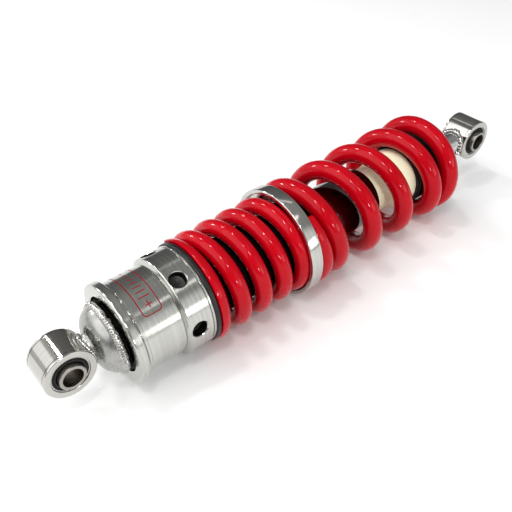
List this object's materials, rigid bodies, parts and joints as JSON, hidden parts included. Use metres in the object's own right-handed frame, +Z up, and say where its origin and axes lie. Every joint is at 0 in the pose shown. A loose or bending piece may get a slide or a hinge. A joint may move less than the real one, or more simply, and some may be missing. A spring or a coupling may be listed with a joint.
{
  "type": "coil-over shock absorber",
  "caption": "Mono-tube shock absorber with two red coil springs in series on a threaded preload collar and a rubber-bushed eye at each end.",
  "frame": {"origin": "centre of the body eye, on its bolt axis", "axes": "+X along the damper from the body eye to the rod eye, +Y along both eye bolts, +Z up with the damper lying level"},
  "size_m": [0.3266, 0.0644, 0.0644],
  "materials": {
    "steel": "polished steel",
    "chrome": "mirror chrome",
    "aluminium": "turned, satin",
    "red_paint": "gloss powder coat",
    "black_plastic": "gloss black",
    "rubber": "matt",
    "urethane": "cream cellular urethane",
    "bronze": "bronze-filled"
  },
  "bodies": {
    "damper": {"body_eye": "steel", "body_bush_shell": "steel", "body_bush_rubber": "rubber", "body_eye_weld": "steel", "dome_cap": "aluminium", "cap_weld": "aluminium", "damper_tube": "chrome", "threaded_sleeve": "black_plastic", "spring_liner": "black_plastic", "rod_guide": "aluminium", "guide_bush": "bronze", "oil_seal": "rubber", "dust_wiper": "rubber", "guide_circlip": "steel", "tube_end_ring": "black_plastic"},
    "gas_divider": {"floating_piston": "aluminium", "floating_piston_seal": "rubber"},
    "preload_seat": {"thrust_ring": "black_plastic", "lower_spring": "red_paint"},
    "collar": {"preload_collar": "aluminium"},
    "coupler": {"spring_coupler": "aluminium", "coupler_bush": "black_plastic"},
    "rod": {"piston_rod": "chrome", "piston_nut": "steel", "compression_shims": "steel", "piston": "aluminium", "piston_band": "bronze", "rebound_shims": "steel", "rebound_bumper": "rubber", "bump_stop": "urethane", "bump_pad": "rubber", "bump_cup": "steel", "upper_spring_seat": "steel", "upper_spring": "red_paint", "rod_locknut": "steel", "rod_boss": "steel", "rod_eye_weld": "steel", "rod_eye": "steel", "rod_bush_shell": "steel", "rod_bush_rubber": "rubber"},
    "body_sleeve": {"body_bush_sleeve": "steel"},
    "rod_sleeve": {"rod_bush_sleeve": "steel"}
  },
  "joints": [
    {"name": "rod_slide", "type": "slide", "parent": "damper", "child": "rod", "axis": [-1, 0, 0], "range_m": [0, 0.017], "stiffness_N_per_m": 105000, "springref_m": -0.003, "deforming": ["upper_spring", "bump_stop"]},
    {"name": "coupler_slide", "type": "slide", "parent": "damper", "child": "coupler", "axis": [-1, 0, 0], "range_m": [0, 0.0103], "deforming": ["lower_spring"]},
    {"name": "gas_divider_slide", "type": "slide", "parent": "damper", "child": "gas_divider", "axis": [-1, 0, 0], "range_m": [0, 0.003]},
    {"name": "preload_slide", "type": "slide", "parent": "damper", "child": "preload_seat", "axis": [1, 0, 0], "range_m": [-0.00025, 0.00025]},
    {"name": "collar_turn", "type": "hinge", "parent": "preload_seat", "child": "collar", "pos_m": [0.06, 0, 0], "axis": [1, 0, 0], "range_deg": [-60, 60]},
    {"name": "body_sleeve_turn", "type": "hinge", "parent": "damper", "child": "body_sleeve", "pos_m": [0, 0, 0], "axis": [0, 1, 0], "range_deg": [-15, 15], "stiffness_Nm_per_rad": 6},
    {"name": "rod_sleeve_turn", "type": "hinge", "parent": "rod", "child": "rod_sleeve", "pos_m": [0.3, 0, 0], "axis": [0, 1, 0], "range_deg": [-15, 15], "stiffness_Nm_per_rad": 6}
  ],
  "couplings": [
    {"joint": "coupler_slide", "follows": "rod_slide", "ratio": 0.6},
    {"joint": "gas_divider_slide", "follows": "rod_slide", "ratio": 0.1736},
    {"joint": "collar_turn", "follows": "preload_slide", "rad_per_m": 4188}
  ]
}
